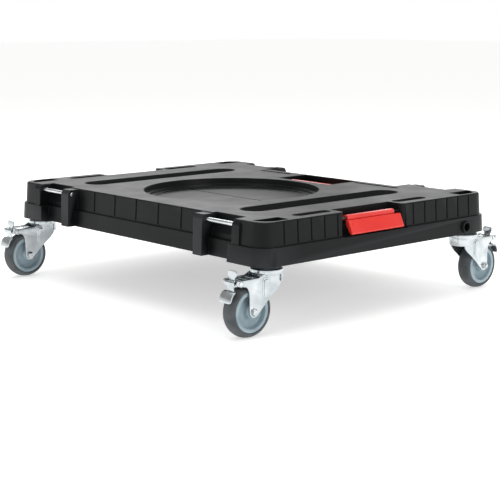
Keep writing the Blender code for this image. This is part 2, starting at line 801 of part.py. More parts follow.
def axle_sleeve_mesh():
    inner, outer, reach = AXLE_R + GAP, AXLE_R + 1.4, FORK_INSIDE - GAP
    return turned_on_axle("axle_sleeve", [(inner, reach), (outer, reach), (outer, -reach), (inner, -reach)], 20)


def wheel_centre_mesh():
    """A moulded wheel centre: hub, thin web and a deep rim, alike on both faces."""
    half = TREAD_WIDTH / 2
    bore = AXLE_R + 1.4 + GAP
    right = [
        (bore, half + 0.5),
        (10.0, half + 0.5),
        (11.5, 3.5),
        (22.0, 3.0),
        (24.5, half - 0.6),
        (RIM_R, half - 0.6),
    ]
    left = [(r, -v) for r, v in reversed(right)]
    return turned_on_axle("wheel_centre", right + left, 32)


def tyre_mesh():
    """A tyre with a softly rounded tread."""
    half = TREAD_WIDTH / 2
    inner = RIM_R + GAP
    right = [
        (inner, half),
        (WHEEL_R - 4.6, half - 0.2),
        (WHEEL_R - 2.1, half - 2.4),
        (WHEEL_R - 0.6, half - 6.0),
        (WHEEL_R, half - 10.5),
    ]
    left = [(r, -v) for r, v in reversed(right)]
    return turned_on_axle("tyre", right + left, 40)


def brake_lever_mesh():
    """The lever about its pin: a release tab on top, a saddle with cheeks, and a wide press pedal below."""
    tab = bmesh.new()
    add_prism(tab, [(1.2, -1.0), (3.6, -1.0), (4.2, 8.0), (3.2, 17.0), (0.8, 17.0), (1.8, 8.0)], -8.9, 8.9, axis="y")
    upright = []
    for edge in tab.edges:
        a, b = edge.verts[0].co, edge.verts[1].co
        if abs(a.y - b.y) < 0.1 and min(a.z, b.z) > 16.0:
            upright.append(edge)
    bmesh.ops.bevel(tab, geom=upright, offset=4.0, offset_type="OFFSET", segments=3, profile=0.5, affect="EDGES",
                    material=-1)
    pedal = bmesh.new()
    outline = [(4.6, -10.8), (8.6, -11.2), (12.6, -14.6), (15.4, -20.2), (16.9, -26.2), (14.9, -26.9), (13.2, -21.0),
               (10.4, -16.4), (6.2, -13.4)]
    add_prism(pedal, outline, -12.3, 12.3, axis="y")
    saddle = bmesh.new()
    add_prism(saddle, [(-3.6, -3.6), (4.2, -3.6), (5.0, -12.5), (8.0, -12.5), (9.4, 2.4), (8.2, 3.6), (-3.6, 3.6)],
              -10.4, 10.4, axis="y")
    hollow = bmesh.new()
    add_box(hollow, (-8.0, 0.6), (-8.0, 8.0), (-10.0, 10.0))
    bore = bmesh.new()
    add_cylinder(bore, (0.0, 0.0), BRAKE_PIN_R + GAP, -30.0, 30.0, axis="y", segments=12)
    return carved("brake_lever", saddle, joined=(tab, pedal), cuts=(hollow, bore))


def brake_shoe_mesh():
    """A curved plate over the tyre, hinged at its front edge, that the lever presses down."""
    body = bmesh.new()
    outline = [
        (-1.6, 1.2),
        (7.5, 0.4),
        (16.5, -1.8),
        (25.0, -5.9),
        (24.1, -7.8),
        (15.5, -4.0),
        (7.5, -1.9),
        (-1.6, -1.2),
    ]
    add_prism(body, outline, -9.0, 9.0, axis="y")
    return carved("brake_shoe", body)


def caster_meshes():
    reach = FORK_INSIDE + FORK_STEEL + 1.6
    return {
        "raceway": raceway_mesh(),
        "kingpin": kingpin_mesh(),
        "kingpin_nut": kingpin_nut_mesh(),
        "fork": fork_mesh(),
        "axle_bolt": axle_bolt_mesh(),
        "axle_nut": axle_nut_mesh(),
        "axle_sleeve": axle_sleeve_mesh(),
        "wheel_centre": wheel_centre_mesh(),
        "tyre": tyre_mesh(),
        "brake_lever": brake_lever_mesh(),
        "brake_pin": cylinder_mesh("brake_pin", BRAKE_PIN_R, -reach, reach, axis="y", segments=12),
        "brake_shoe": brake_shoe_mesh(),
    }


def empty(name, collection, at, parent=None, turn=0.0):
    obj = bpy.data.objects.new(name, None)
    collection.objects.link(obj)
    obj.location = [c * MM for c in at]
    obj.rotation_euler = (0, 0, turn)
    obj.parent = parent
    return obj


def build_casters(collection, finishes):
    """Four casters, each trailing away from the middle of the platform along x."""
    meshes = caster_meshes()
    axle = ("axle_bolt", "axle_nut", "axle_sleeve", "wheel_centre", "tyre")
    brake = ("brake_lever", "brake_pin")
    for side, side_name in ((-1, "left"), (1, "right")):
        for end, end_name in ((-1, "front"), (1, "rear")):
            tag = f"{end_name}_{side_name}"
            turn = 0.0 if side > 0 else math.pi
            swivel = empty(f"{tag}_swivel_axis", collection, (side * SWIVEL_X, end * SWIVEL_Y, 0), turn=turn)
            wheel = empty(f"{tag}_wheel_axis", collection, (TRAIL, 0, WHEEL_R), swivel)
            lever = empty(f"{tag}_brake_axis", collection, (BRAKE_PIVOT[0], 0, BRAKE_PIVOT[1]), swivel)
            shoe = empty(f"{tag}_shoe_axis", collection, (SHOE_PIVOT[0], 0, SHOE_PIVOT[1]), swivel)
            for name, mesh in meshes.items():
                parent = wheel if name in axle else lever if name in brake else swivel
                if name == "brake_shoe":
                    parent = shoe
                place(mesh, f"{tag}_{name}", collection, finishes[name], parent)


def main():
    clear_scene()
    parts = new_collection("furniture_dolly")
    cutters = new_collection("furniture_dolly_cutters")
    black = material("black_polypropylene", BLACK, 0.5)
    red = material("red_abs", RED, 0.35)
    zinc = material("zinc_plated_steel", ZINC, 0.32, 1.0)
    race = material("race_steel", RACE_GREY, 0.4, 0.8)
    tyre = material("grey_rubber", TYRE_GREY, 0.7)
    rim = material("blue_grey_polypropylene", RIM_BLUE, 0.45)
    build_deck(parts, cutters, black)
    build_rods(parts, zinc)
    build_latches(parts, red, zinc)
    build_sockets(parts, black)
    finishes = {
        "raceway": race,
        "kingpin": zinc,
        "kingpin_nut": zinc,
        "fork": zinc,
        "axle_bolt": zinc,
        "axle_nut": zinc,
        "axle_sleeve": zinc,
        "wheel_centre": rim,
        "tyre": tyre,
        "brake_lever": zinc,
        "brake_pin": zinc,
        "brake_shoe": zinc,
    }
    build_casters(parts, finishes)


main()
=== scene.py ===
"""Looks of the furniture dolly: a black moulded platform on four zinc-plated swivel casters, and red latches.

Sizes are in millimetres in the same frame as the solids: the origin is on the floor, +Z is up, +X runs along
the short side and +Y along the long side. Pieces of a caster are drawn in its own frame (u, v, z), where u is
the way its wheel trails and v runs along the axle, and are then turned and moved to each corner.
"""

import logging
import math
from collections.abc import Callable, Iterable, Sequence
from dataclasses import dataclass, field
from enum import Enum

import bmesh
import bpy
from mathutils import Matrix, Vector

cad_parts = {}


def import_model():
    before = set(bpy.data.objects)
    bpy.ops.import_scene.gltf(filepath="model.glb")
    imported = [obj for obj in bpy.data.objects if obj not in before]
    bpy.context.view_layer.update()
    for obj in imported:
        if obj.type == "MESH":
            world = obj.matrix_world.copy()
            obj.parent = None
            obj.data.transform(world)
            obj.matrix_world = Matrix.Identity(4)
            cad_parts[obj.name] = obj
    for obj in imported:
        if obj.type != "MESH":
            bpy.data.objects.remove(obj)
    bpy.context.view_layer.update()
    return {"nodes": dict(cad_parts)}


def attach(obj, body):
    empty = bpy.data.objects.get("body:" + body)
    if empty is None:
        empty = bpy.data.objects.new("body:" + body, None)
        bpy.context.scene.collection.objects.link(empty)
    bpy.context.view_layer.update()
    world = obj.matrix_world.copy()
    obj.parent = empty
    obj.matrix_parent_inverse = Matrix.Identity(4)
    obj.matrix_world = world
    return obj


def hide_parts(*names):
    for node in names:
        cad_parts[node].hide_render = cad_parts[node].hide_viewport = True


LOG = logging.getLogger("furniture_dolly")
MM = 0.001
EDGE_SAMPLES = 6  # rays for each point that rounds an edge
SMOOTH_BELOW = 38.0  # degrees between two faces
SEAM_GAP = 0.0005  # points nearer than this, in millimetres, are one point
Point2 = tuple[float, float]
Colour = tuple[float, float, float, float]


class Axis(Enum):
    """The axis that a flat outline is extruded along."""

    U = "u"
    V = "v"
    Z = "z"


class Side(Enum):
    """The two ends of the short side, by the sign of x."""

    LEFT = -1
    RIGHT = 1


class End(Enum):
    """The two ends of the long side, by the sign of y."""

    FRONT = -1
    REAR = 1


# ------------------------------------------------------------------------------------------ node helpers


def hex_colour(code: str) -> Colour:
    """Turns an sRGB hex colour into the linear colour that a shader takes.

    Args:
        code: Six hex digits.

    Returns:
        Linear red, green, blue and an alpha of one.
    """
    parts = [int(code[i : i + 2], 16) / 255 for i in (0, 2, 4)]
    linear = [c / 12.92 if c <= 0.04045 else ((c + 0.055) / 1.055) ** 2.4 for c in parts]
    return (linear[0], linear[1], linear[2], 1.0)


def add_node(
    tree: bpy.types.NodeTree,
    kind: str,
    settings: dict[str, object] | None = None,
    values: dict[str, object] | None = None,
    links: dict[str, bpy.types.NodeSocket] | None = None,
) -> bpy.types.Node:
    """Adds a node with its settings, socket values and links.

    Args:
        tree: The node tree.
        kind: The node's type.
        settings: Properties of the node.
        values: Values of its input sockets.
        links: Sockets that feed its inputs.

    Returns:
        The new node.
    """
    node = tree.nodes.new(kind)
    for name, value in (settings or {}).items():
        setattr(node, name, value)
    for name, value in (values or {}).items():
        node.inputs[name].default_value = value
    for name, source in (links or {}).items():
        tree.links.new(source, node.inputs[name])
    return node


def ramp(
    tree: bpy.types.NodeTree, source: bpy.types.NodeSocket, stops: Sequence[tuple[float, Colour]]
) -> bpy.types.NodeSocket:
    """Colours a factor with a ramp.

    Args:
        tree: The node tree.
        source: The factor's socket.
        stops: Positions and colours, from low to high.

    Returns:
        The ramp's colour socket.
    """
    node = add_node(tree, "ShaderNodeValToRGB", links={"Fac": source})
    while len(node.color_ramp.elements) < len(stops):
        node.color_ramp.elements.new(0.5)
    for element, (position, colour) in zip(node.color_ramp.elements, stops):
        element.position = position
        element.color = colour
    return node.outputs["Color"]


def grey(level: float) -> Colour:
    """A linear grey."""
    return (level, level, level, 1.0)


# ---------------------------------------------------------------------------------------------- finishes


@dataclass(frozen=True)
class Grain:
    """A noise pattern given by its real size."""

    size_mm: float
    height_mm: float
    detail: float = 3.0
    stretch: tuple[float, float, float] = (1.0, 1.0, 1.0)


@dataclass(frozen=True)
class Finish:
    """A material and how its surface was made.

    The base colour drifts between two shades over patches of a real size, the roughness drifts with a second
    pattern, and one or two grains give the surface its relief.
    """

    name: str
    slot: str
    shade_low: str
    shade_high: str
    patch_mm: float
    rough_low: float
    rough_high: float
    rough_mm: float
    grains: tuple[Grain, ...]
    metallic: float = 0.0
    ior: float = 1.5
    # colour and share of a painted highlight on the pointed outer edges
    edge_highlight_colour: str | None = None
    edge_highlight_share: float = 0.0
    edge_round_mm: float = 0.0

    def build(self) -> bpy.types.Material:
        """Builds the material.

        Returns:
            A material whose patterns lie on object coordinates.
        """
        made = bpy.data.materials.new(self.name)
        made.use_nodes = True
        tree = made.node_tree
        shader = tree.nodes["Principled BSDF"]
        shader.inputs["Metallic"].default_value = self.metallic
        if self.metallic < 0.5:
            shader.inputs["IOR"].default_value = self.ior
        place = add_node(tree, "ShaderNodeTexCoord").outputs["Object"]
        patches = self.noise(tree, place, Grain(self.patch_mm, 0.0, 5.0))
        stops = ((0.35, hex_colour(self.shade_low)), (0.68, hex_colour(self.shade_high)))
        colour = ramp(tree, patches, stops)
        # paint a highlight on the pointed outer edges
        if self.edge_highlight_colour:
            colour = self.edges(tree, colour)
        tree.links.new(colour, shader.inputs["Base Color"])
        drift = self.noise(tree, place, Grain(self.rough_mm, 0.0, 6.0))
        rough = ramp(tree, drift, ((0.3, grey(self.rough_low)), (0.7, grey(self.rough_high))))
        tree.links.new(rough, shader.inputs["Roughness"])
        self.relief(tree, place, shader)
        made.diffuse_color = hex_colour(self.shade_high)
        return made

    def noise(
        self, tree: bpy.types.NodeTree, place: bpy.types.NodeSocket, grain: Grain
    ) -> bpy.types.NodeSocket:
        """Adds a noise whose features are about as wide as the grain.

        Args:
            tree: The node tree.
            place: The coordinates.
            grain: The grain's size, stretch and detail.

        Returns:
            The noise's factor.
        """
        mapping = add_node(
            tree, "ShaderNodeMapping", values={"Scale": grain.stretch}, links={"Vector": place}
        )
        noise = add_node(
            tree,
            "ShaderNodeTexNoise",
            values={"Scale": 0.5 / (grain.size_mm * MM), "Detail": grain.detail},
            links={"Vector": mapping.outputs["Vector"]},
        )
        return noise.outputs["Fac"]

    def edges(self, tree: bpy.types.NodeTree, colour: bpy.types.NodeSocket) -> bpy.types.NodeSocket:
        """Paints a highlight on the outer corners: lightens them a little where the mesh is most pointed.

        Args:
            tree: The node tree.
            colour: The colour under the painted highlight.

        Returns:
            The colour with the painted highlight.
        """
        bend = add_node(tree, "ShaderNodeNewGeometry").outputs["Pointiness"]
        amount = ramp(tree, bend, ((0.53, grey(0.0)), (0.62, grey(self.edge_highlight_share))))
        mix = add_node(tree, "ShaderNodeMix", {"data_type": "RGBA"})
        tree.links.new(amount, mix.inputs[0])
        tree.links.new(colour, mix.inputs[6])
        mix.inputs[7].default_value = hex_colour(self.edge_highlight_colour)
        return mix.outputs[2]

    def relief(
        self, tree: bpy.types.NodeTree, place: bpy.types.NodeSocket, shader: bpy.types.Node
    ) -> None:
        """Rounds the edges where the finish asks for it, then chains a bump node for each grain.

        Args:
            tree: The node tree.
            place: The coordinates.
            shader: The shader that takes the normal.
        """
        normal: bpy.types.NodeSocket | None = None
        if self.edge_round_mm:
            values = {"Radius": self.edge_round_mm * MM}
            normal = add_node(tree, "ShaderNodeBevel", {"samples": EDGE_SAMPLES}, values).outputs["Normal"]
        for grain in self.grains:
            links = {"Height": self.noise(tree, place, grain)}
            if normal:
                links["Normal"] = normal
            values = {"Strength": 1.0, "Distance": grain.height_mm * MM}
            normal = add_node(tree, "ShaderNodeBump", values=values, links=links).outputs["Normal"]
        if normal:
            tree.links.new(normal, shader.inputs["Normal"])


# Polypropylene moulded in a spark-eroded tool: a fine even grain that spreads the light into a satin sheen.
# The real grain is near 0.2 mm. It is drawn at 0.8 mm, the finest that still shows from this far away.
BLACK_POLYPROPYLENE = Finish(
    name="moulded_black_polypropylene",
    slot="body_plastic",
    shade_low="0b0d0e",
    shade_high="101213",
    patch_mm=60.0,
    rough_low=0.34,
    rough_high=0.44,
    rough_mm=25.0,
    grains=(Grain(0.8, 0.012, 2.0), Grain(28.0, 0.05, 2.0)),
    ior=1.26,
    # painted highlight: a lighter grey mixed onto the pointed outer edges
    edge_highlight_colour="3c3f41",
    edge_highlight_share=0.5,
    edge_round_mm=1.2,
)

# ABS moulded in a polished tool and coloured right through: smooth, strong red with a soft gloss.
RED_ABS = Finish(
    name="moulded_red_abs",
    slot="latch_plastic",
    shade_low="de2c24",
    shade_high="ea382e",
    patch_mm=30.0,
    rough_low=0.26,
    rough_high=0.36,
    rough_mm=9.0,
    grains=(Grain(0.8, 0.02, 2.0), Grain(14.0, 0.05, 2.0)),
    ior=1.53,
    # painted highlight: a pale red mixed onto the pointed outer edges
    edge_highlight_colour="ff7a74",
    edge_highlight_share=0.35,
)

# Mild steel, pressed and then barrel zinc-plated: bright, a little cloudy, with faint rolling lines under it.
ZINC_PLATE = Finish(
    name="zinc_plated_pressed_steel",
    slot="zinc_steel",
    shade_low="b9c1c5",
    shade_high="d6dadc",
    patch_mm=9.0,
    rough_low=0.14,
    rough_high=0.24,
    rough_mm=6.0,
    grains=(Grain(1.0, 0.004, 3.0, (1.0, 1.0, 6.0)), Grain(9.0, 0.02, 2.0)),
    metallic=1.0,
)

# Bright drawn bar, zinc-plated: fine lines along its length and a cleaner shine than the pressings.
DRAWN_BAR = Finish(
    name="zinc_plated_drawn_bar",
    slot="zinc_steel",
    shade_low="c9ced1",
    shade_high="eceeef",
    patch_mm=12.0,
    rough_low=0.18,
    rough_high=0.30,
    rough_mm=5.0,
    grains=(Grain(0.9, 0.015, 2.0, (1.0, 0.05, 1.0)),),
    metallic=1.0,
)

# Race rings of dark phosphated steel with a film of grease.
PHOSPHATED_STEEL = Finish(
    name="phosphated_race_steel",
    slot="race_steel",
    shade_low="23292e",
    shade_high="3b444b",
    patch_mm=6.0,
    rough_low=0.30,
    rough_high=0.48,
    rough_mm=4.0,
    grains=(Grain(0.9, 0.03, 3.0),),
    metallic=0.6,
)

# Thermoplastic rubber bonded to the wheel: dead matt, with the dust and fine scuffs a tread picks up.
GREY_RUBBER = Finish(
    name="grey_thermoplastic_rubber",
    slot="tread_rubber",
    shade_low="3f4345",
    shade_high="54595c",
    patch_mm=8.0,
    rough_low=0.58,
    rough_high=0.76,
    rough_mm=5.0,
    grains=(Grain(0.9, 0.05, 4.0),),
    ior=1.52,
)

# Polypropylene wheel centre in a pale blue-grey, from a plain machined tool.
BLUE_GREY_POLYPROPYLENE = Finish(
    name="moulded_blue_grey_polypropylene",
    slot="wheel_plastic",
    shade_low="8497a0",
    shade_high="9fb0b8",
    patch_mm=12.0,
    rough_low=0.34,
    rough_high=0.46,
    rough_mm=7.0,
    grains=(Grain(0.9, 0.03, 2.0),),
)

FINISHES = (
    BLACK_POLYPROPYLENE,
    RED_ABS,
    ZINC_PLATE,
    DRAWN_BAR,
    PHOSPHATED_STEEL,
    GREY_RUBBER,
    BLUE_GREY_POLYPROPYLENE,
)


class Paints:
    """The built materials, one for each finish."""

    def __init__(self, finishes: Iterable[Finish]) -> None:
        """Builds every finish once."""
        self.materials = {finish.name: finish.build() for finish in finishes}

    def dress(self, obj: bpy.types.Object, finish: Finish) -> None:
        """Gives an object one finish.

        Args:
            obj: The piece or solid.
            finish: Its finish.
        """
        obj.data.materials.clear()
        obj.data.materials.append(self.materials[finish.name])


# --------------------------------------------------------------------------------------------- modelling


def arc(centre: Point2, radius: float, start: float, end: float, steps: int) -> list[Point2]:
    """Points of an arc.

    Args:
        centre: Its centre.
        radius: Its radius.
        start: Its first angle in degrees.
        end: Its last angle in degrees.
        steps: How many pieces it has.

    Returns:
        The points in order.
    """
    angles = [math.radians(start + (end - start) * i / steps) for i in range(steps + 1)]
    return [(centre[0] + radius * math.cos(a), centre[1] + radius * math.sin(a)) for a in angles]


def rounded(outline: Sequence[tuple[float, float, float]], steps: int = 5) -> list[Point2]:
    """Rounds the corners of a closed outline.

    Args:
        outline: Corners, each with the radius it is rounded to.
        steps: How many pieces each rounded corner has.

    Returns:
        The outline's points.
    """
    points: list[Point2] = []
    count = len(outline)
    for i, (x, y, radius) in enumerate(outline):
        here = Vector((x, y))
        if radius <= 0:
            points.append((x, y))
            continue
        to_before = (Vector(outline[i - 1][:2]) - here).normalized()
        to_after = (Vector(outline[(i + 1) % count][:2]) - here).normalized()
        half = math.acos(max(-1.0, min(1.0, to_before.dot(to_after)))) / 2
        reach = radius / math.tan(half)
        first, last = here + to_before * reach, here + to_after * reach
        for k in range(steps + 1):
            t = k / steps
            bend = first * (1 - t) ** 2 + here * 2 * t * (1 - t) + last * t**2
            points.append((bend.x, bend.y))
    return points


def prism(bm: bmesh.types.BMesh, outline: Sequence[Point2], low: float, high: float, axis: Axis) -> None:
    """Extrudes a closed outline along an axis.

    Args:
        bm: The mesh to add to.
        outline: Points across the axis, in the order u, v, z without the axis itself.
        low: Where the solid starts.
        high: Where it ends.
        axis: The axis.
    """
    place: dict[Axis, Callable[[float, float, float], tuple[float, float, float]]] = {
        Axis.Z: lambda a, b, t: (a, b, t),
        Axis.V: lambda a, b, t: (a, t, b),
        Axis.U: lambda a, b, t: (t, a, b),
    }
    face = bm.faces.new([bm.verts.new(place[axis](a, b, low)) for a, b in outline])
    grown = bmesh.ops.extrude_face_region(bm, geom=[face])
    moved = [v for v in grown["geom"] if isinstance(v, bmesh.types.BMVert)]
    bmesh.ops.translate(bm, verts=moved, vec=place[axis](0.0, 0.0, high - low))


def soften(bm: bmesh.types.BMesh, width: float, segments: int = 2, angle: float = 30.0) -> None:
    """Rounds every edge where two faces meet at more than an angle.

    Args:
        bm: The mesh.
        width: How wide the rounding is.
        segments: How many strips it has.
        angle: The least angle, in degrees.
    """
    bmesh.ops.recalc_face_normals(bm, faces=bm.faces)
    least = math.radians(angle)
    sharp = [e for e in bm.edges if len(e.link_faces) == 2 and e.calc_face_angle(0.0) > least]
    bmesh.ops.bevel(
        bm,
        geom=sharp,
        offset=width,
        offset_type="OFFSET",
        segments=segments,
        profile=0.5,
        affect="EDGES",
        clamp_overlap=True,
        material=-1,
    )


def turned(profile: Sequence[Point2], steps: int, closed: bool = True) -> bmesh.types.BMesh:
    """Turns a (radius, height) profile about z.

    Args:
        profile: Points of the profile.
        steps: How many pieces the full turn has.
        closed: Whether the last point joins the first.

    Returns:
        The turned mesh.
    """
    bm = bmesh.new()
    points = [bm.verts.new((r, 0.0, z)) for r, z in profile]
    first = 0 if closed else 1
    edges = [bm.edges.new((points[i - 1], points[i])) for i in range(first, len(points))]
    bmesh.ops.spin(
        bm,
        geom=points + edges,
        cent=(0, 0, 0),
        axis=(0, 0, 1),
        angle=math.tau,
        steps=steps,
        use_merge=True,
    )
    bmesh.ops.remove_doubles(bm, verts=bm.verts, dist=SEAM_GAP)
    bmesh.ops.recalc_face_normals(bm, faces=bm.faces)
    return bm


def lay_along_y(bm: bmesh.types.BMesh) -> None:
    """Turns a mesh made about z so that its axis lies along +y."""
    turn = Matrix.Rotation(math.radians(-90), 3, "X")
    bmesh.ops.rotate(bm, verts=bm.verts, cent=(0, 0, 0), matrix=turn)


def join(target: bmesh.types.BMesh, other: bmesh.types.BMesh) -> None:
    """Adds a mesh to another and frees it.

    Args:
        target: The mesh that grows.
        other: The mesh to add.
    """
    scratch = bpy.data.meshes.new("scratch")
    other.to_mesh(scratch)
    other.free()
    target.from_mesh(scratch)
    bpy.data.meshes.remove(scratch)


def hexagon(across_flats: float, turn: float = 0.0) -> list[Point2]:
    """The corners of a hexagon by its width across flats."""
    return arc((0.0, 0.0), across_flats / math.sqrt(3), turn, turn + 300, 5)


def mesh_of(bm: bmesh.types.BMesh, name: str, angle: float = SMOOTH_BELOW) -> bpy.types.Mesh:
    """Turns a bmesh in millimetres into a smooth-shaded mesh in metres.

    Args:
        bm: The bmesh, which is freed.
        name: The mesh's name.
        angle: Edges sharper than this many degrees stay sharp.

    Returns:
        The mesh.
    """
    bmesh.ops.scale(bm, vec=(MM, MM, MM), verts=bm.verts)
    mesh = bpy.data.meshes.new(name)
    bm.to_mesh(mesh)
    bm.free()
    mesh.shade_smooth()
    mesh.set_sharp_from_angle(angle=math.radians(angle))
    return mesh


class Workshop:
    """Places finished pieces in the scene and ties them to the frame."""

    def __init__(self, paints: Paints) -> None:
        """Keeps the paints."""
        self.paints = paints

    def piece(
        self,
        mesh: bpy.types.Mesh,
        name: str,
        finish: Finish,
        body: str,
        nodes: Sequence[str],
        matrix: Matrix | None = None,
    ) -> bpy.types.Object:
        """Makes one piece, which rides on a body and stands for some solids.

        Args:
            mesh: Its mesh, which is copied.
            name: The piece's name.
            finish: Its finish.
            body: The body it rides on.
            nodes: The solids it stands for.
            matrix: Where the mesh goes.

        Returns:
            The piece.
        """
        placed = mesh.copy()
        if matrix:
            placed.transform(matrix)
        obj = bpy.data.objects.new(name, placed)
        bpy.context.scene.collection.objects.link(obj)
        self.paints.dress(obj, finish)
        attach(obj, body)
        if nodes:
            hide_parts(*nodes)
        LOG.info("%s: %d faces on %s", name, len(placed.polygons), body)
        return obj


# ---------------------------------------------------------------------------------------------- platform


@dataclass
class Platform:
    """The moulded platform, its tie rods and its tube sockets."""

    rod_x: float = 234.5
    rod_z: float = 150.5
    rod_r: float = 3.2
    rod_start: dict[Side, float] = field(default_factory=lambda: {Side.LEFT: 158.8, Side.RIGHT: 166.8})
    rod_end: float = 256.0
    rod_dome: float = 0.9
    socket_x: float = 184.0
    socket_z: float = 109.5
    socket_r: float = 9.2
    socket_bore: float = 6.2
    socket_face: float = 315.6
    socket_length: float = 27.4
    socket_bore_depth: float = 24.4
    weld: float = 0.01
    smooth_below: float = 24.0
    level_above: float = 0.9999

    def build(self, shop: Workshop, nodes: dict[str, bpy.types.Object]) -> None:
        """Builds every piece of the platform.

        Args:
            shop: Where pieces are placed.
            nodes: The solids of the frame.
        """
        shop.piece(self.deck_mesh(nodes["deck"]), "platform", BLACK_POLYPROPYLENE, "platform", ["deck"])
        for side in Side:
            rod = self.rod_mesh(self.rod_start[side])
            for end in End:
                name = f"tie_rod_{side.name.lower()}_{end.name.lower()}"
                turn = Matrix.Rotation(0.0 if end is End.REAR else math.pi, 4, "Z")
                move = Matrix.Translation((side.value * self.rod_x * MM, 0.0, self.rod_z * MM))
                shop.piece(rod, name + "_bar", DRAWN_BAR, "platform", [name], move @ turn)
        socket = self.socket_mesh()
        for end in End:
            name = f"tube_socket_{end.name.lower()}"
            turn = Matrix.Rotation(0.0 if end is End.REAR else math.pi, 4, "Z")
            move = Matrix.Translation((self.socket_x * MM, 0.0, self.socket_z * MM))
            shop.piece(socket, name + "_ring", BLACK_POLYPROPYLENE, "platform", [name], move @ turn)

    def deck_mesh(self, solid: bpy.types.Object) -> bpy.types.Mesh:
        """The platform's solid as one clean skin. Its finish rounds the edges.

        The edges round every level face are kept sharp, so that a wide flat face shades evenly.

        Args:
            solid: The platform's solid.

        Returns:
            The mesh.
        """
        bm = bmesh.new()
        points = [bm.verts.new(v.co / MM) for v in solid.data.vertices]
        for polygon in solid.data.polygons:
            bm.faces.new([points[i] for i in polygon.vertices])
        bmesh.ops.remove_doubles(bm, verts=bm.verts, dist=self.weld)
        mesh = mesh_of(bm, "platform", self.smooth_below)
        crisp = bmesh.new()
        crisp.from_mesh(mesh)
        for edge in crisp.edges:
            kinds = {abs(face.normal.z) > self.level_above for face in edge.link_faces}
            if len(kinds) == 2:
                edge.smooth = False
        crisp.to_mesh(mesh)
        crisp.free()
        return mesh

    def rod_mesh(self, low: float) -> bpy.types.Mesh:
        """A tie rod along +y with slightly domed ends.

        Args:
            low: Where it starts.

        Returns:
            The mesh.
        """
        high, dome = self.rod_end, self.rod_dome
        tip = arc((self.rod_r - dome, low + dome), dome, 270, 360, 4)
        far = arc((self.rod_r - dome, high - dome), dome, 0, 90, 4)
        bm = turned([(0.0, low), *tip, *far, (0.0, high)], 32, closed=False)
        lay_along_y(bm)
        return mesh_of(bm, "tie_rod")

    def socket_mesh(self) -> bpy.types.Mesh:
        """A tube socket along +y: a short sleeve with a rounded mouth and a blind bore.

        Returns:
            The mesh.
        """
        low, high = self.socket_face - self.socket_length, self.socket_face
        floor = high - self.socket_bore_depth
        mouth = (self.socket_r + self.socket_bore) / 2
        half = (self.socket_r - self.socket_bore) / 2
        profile = [(0.0, low), (self.socket_r, low), *arc((mouth, high - half), half, 0, 180, 10)]
        profile += [(self.socket_bore, floor), (0.0, floor)]
        bm = turned(profile, 40, closed=False)
        lay_along_y(bm)
        return mesh_of(bm, "tube_socket")


# ----------------------------------------------------------------------------------------------- latches


@dataclass
class Latch:
    """A red box latch: a ridge over its pin, a sloping plate and a cheek at each end."""

    name: str
    pin: str
    body: str
    pivot: tuple[float, float, float]
    turn: float
    half_length: float = 55.5
    pin_r: float = 1.6
    pin_half: float = 63.9
    ridge: tuple[float, float] = (-52.0, 47.5)
    cheek: float = 3.0

    def build(self, shop: Workshop) -> None:
        """Builds the latch and its pin.

        Args:
            shop: Where pieces are placed.
        """
        at = [c * MM for c in self.pivot]
        matrix = Matrix.Translation(at) @ Matrix.Rotation(self.turn, 4, "Z")
        shop.piece(self.flap_mesh(), self.name + "_flap", RED_ABS, self.body, [self.name], matrix)
        shop.piece(self.pin_mesh(), self.name + "_bar", PHOSPHATED_STEEL, "platform", [self.pin], matrix)

    def flap_mesh(self) -> bpy.types.Mesh:
        """The flap about its pin, facing -y, as (y, z) outlines drawn out along x.

        Returns:
            The mesh.
        """
        bm = bmesh.new()
        ridge = rounded(
            (
                (6.0, 3.4, 1.2),
                (0.6, 4.7, 1.8),
                (-3.6, 3.6, 0.8),
                (-4.4, -1.2, 0.6),
                (-3.4, -3.5, 0.6),
                (6.0, -3.4, 0.8),
            )
        )
        prism(bm, ridge, *self.ridge, Axis.U)
        plate = rounded(
            (
                (-3.2, -3.2, 0.3),
                (-5.6, -2.6, 0.4),
                (-9.4, -2.2, 1.0),
                (-17.6, -20.6, 1.4),
                (-15.3, -22.5, 0.8),
                (-13.2, -21.4, 0.6),
                (-5.2, -5.2, 0.8),
            )
        )
        prism(bm, plate, -self.half_length, self.half_length, Axis.U)
        cheek = rounded(
            (
                (-3.4, -2.6, 0.4),
                (-8.6, -2.9, 0.8),
                (-15.6, -19.6, 0.6),
                (-12.0, -20.4, 0.8),
                (-4.0, -8.5, 1.4),
            )
        )
        for low in (-self.half_length + 0.1, self.half_length - 0.1 - self.cheek):
            prism(bm, cheek, low, low + self.cheek, Axis.U)
        soften(bm, 0.8, 3, 50.0)
        return mesh_of(bm, "latch_flap")

    def pin_mesh(self) -> bpy.types.Mesh:
        """The latch's hinge pin along x, with chamfered ends.

        Returns:
            The mesh.
        """
        half = self.pin_half
        ends = [(0.0, -half), (self.pin_r - 0.3, -half), (self.pin_r, -half + 0.5)]
        profile = ends + [(r, -z) for r, z in reversed(ends)]
        bm = turned(profile, 24, closed=False)
        turn = Matrix.Rotation(math.radians(90), 3, "Y")
        bmesh.ops.rotate(bm, verts=bm.verts, cent=(0, 0, 0), matrix=turn)
        return mesh_of(bm, "latch_pin")


# ----------------------------------------------------------------------------------------------- casters


